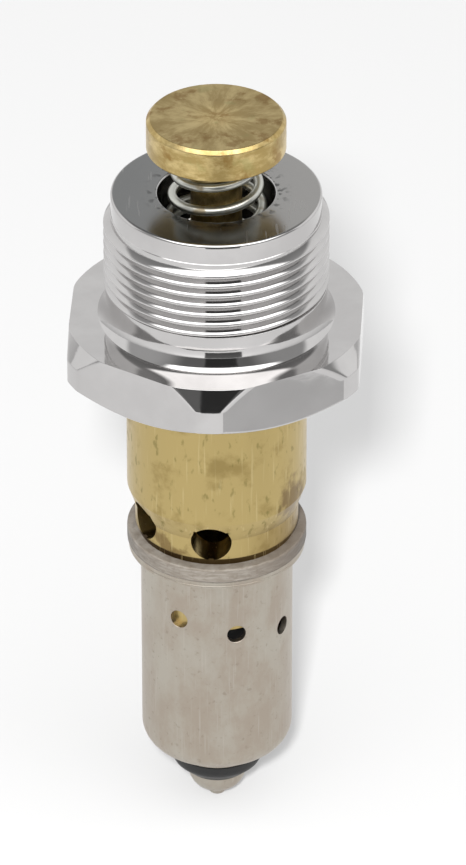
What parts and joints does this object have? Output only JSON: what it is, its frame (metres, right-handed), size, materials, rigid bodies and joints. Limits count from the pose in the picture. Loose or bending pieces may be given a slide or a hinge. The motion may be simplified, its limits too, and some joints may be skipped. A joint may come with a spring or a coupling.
{
  "type": "urinal push button cartridge",
  "caption": "Metering valve cartridge: sprung push button on a stem, threaded hexagon bonnet, ported brass body and a drawn sleeve over a dashpot piston, with a check valve in its end.",
  "frame": {"origin": "centre of the hexagon's underside, where the bare barrel of the valve body begins", "axes": "+Z along the axis towards the push button; -Y is the front in the picture; one corner of the hexagon lies 3 degrees left of the front"},
  "size_m": [0.0378, 0.041, 0.1029],
  "materials": {
    "turned_brass": "turned, bare, with brown tarnish",
    "raw_brass": "turned, bare, scratched, with green and brown stains",
    "chrome_plate": "bright chrome plate",
    "nickel_plate": "dull nickel plate with slight stains",
    "spring_steel": "drawn wire, dark and slightly worn",
    "black_rubber": "moulded black rubber",
    "fibre": "hard brown fibre",
    "acetal": "machined white plastic"
  },
  "bodies": {
    "housing": {"bonnet": "chrome_plate", "stem_bush": "acetal", "seal_washer": "acetal", "stem_o_ring": "black_rubber", "body_o_ring": "black_rubber", "valve_body": "raw_brass", "gasket": "fibre", "sleeve": "nickel_plate", "check_guide": "turned_brass", "button_spring": "spring_steel", "return_spring": "spring_steel", "check_spring": "spring_steel"},
    "button": {"push_button": "turned_brass", "stem": "turned_brass", "retaining_ring": "spring_steel"},
    "piston_set": {"piston": "turned_brass", "valve_nut": "turned_brass", "valve_washer": "black_rubber", "cup_seal": "black_rubber", "cup_follower": "turned_brass", "piston_nut": "turned_brass"},
    "check_valve": {"check_poppet": "nickel_plate", "check_seal": "black_rubber", "check_clip": "spring_steel"}
  },
  "joints": [
    {"name": "button_press", "type": "slide", "parent": "housing", "child": "button", "axis": [0, 0, -1], "range_m": [0, 0.006], "stiffness_N_per_m": 1200, "springref_m": -0.004, "deforming": ["button_spring"]},
    {"name": "piston_travel", "type": "slide", "parent": "housing", "child": "piston_set", "axis": [0, 0, -1], "range_m": [0, 0.006], "stiffness_N_per_m": 400, "springref_m": -0.003, "deforming": ["return_spring"]},
    {"name": "check_lift", "type": "slide", "parent": "housing", "child": "check_valve", "axis": [0, 0, -1], "range_m": [0, 0.0012], "stiffness_N_per_m": 300, "springref_m": -0.001, "deforming": ["check_spring"]}
  ],
  "couplings": [
    {"joint": "piston_travel", "follows": "button_press", "ratio": 1}
  ]
}
